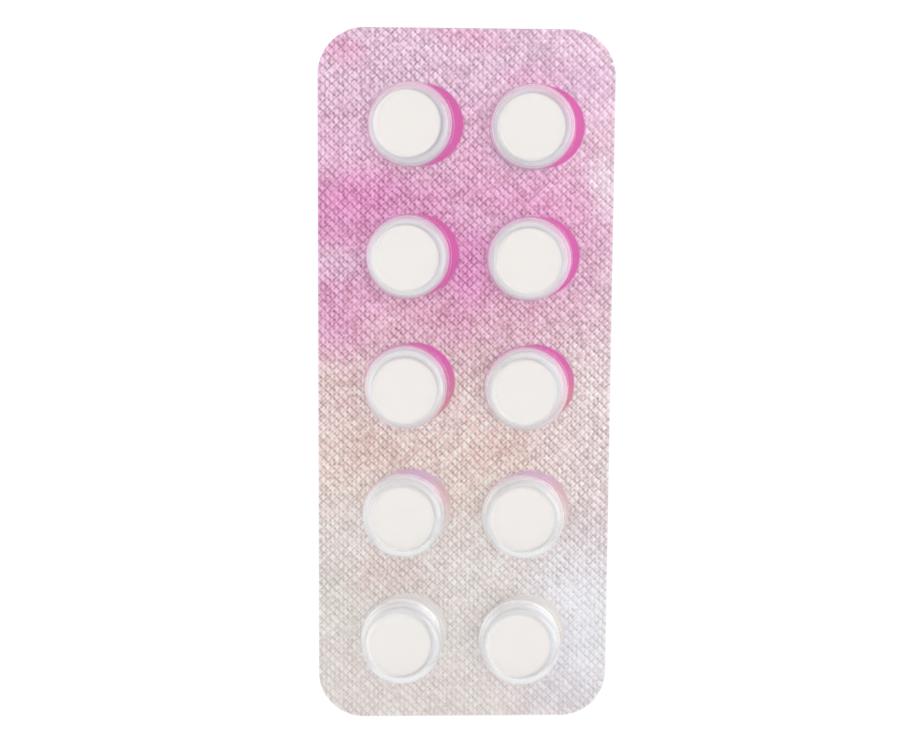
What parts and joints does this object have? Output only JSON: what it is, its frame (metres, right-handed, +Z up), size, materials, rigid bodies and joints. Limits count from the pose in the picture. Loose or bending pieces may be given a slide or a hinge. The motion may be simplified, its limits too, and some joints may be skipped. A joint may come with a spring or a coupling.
{
  "type": "blister strip of tablets",
  "caption": "Flat foil-backed strip of clear thermoformed pockets in two columns, each holding one loose round flat tablet.",
  "frame": {"origin": "middle of the strip's outline, on the underside of the foil", "axes": "+Z up through the pockets, +Y along the strip towards its upper end in the picture, +X to its right side"},
  "size_m": [0.038, 0.09, 0.0043],
  "materials": {
    "foil": "knurled, satin, tinted pink to silver",
    "clear_film": "clear gloss film",
    "tablet": "matte, powdery, pressed"
  },
  "bodies": {
    "root": {"lidding_foil": "foil", "blister_film": "clear_film", "tablet_1_left": "tablet", "tablet_1_right": "tablet", "tablet_2_left": "tablet", "tablet_2_right": "tablet", "tablet_3_left": "tablet", "tablet_3_right": "tablet", "tablet_4_left": "tablet", "tablet_4_right": "tablet", "tablet_5_left": "tablet", "tablet_5_right": "tablet"}
  },
  "joints": []
}
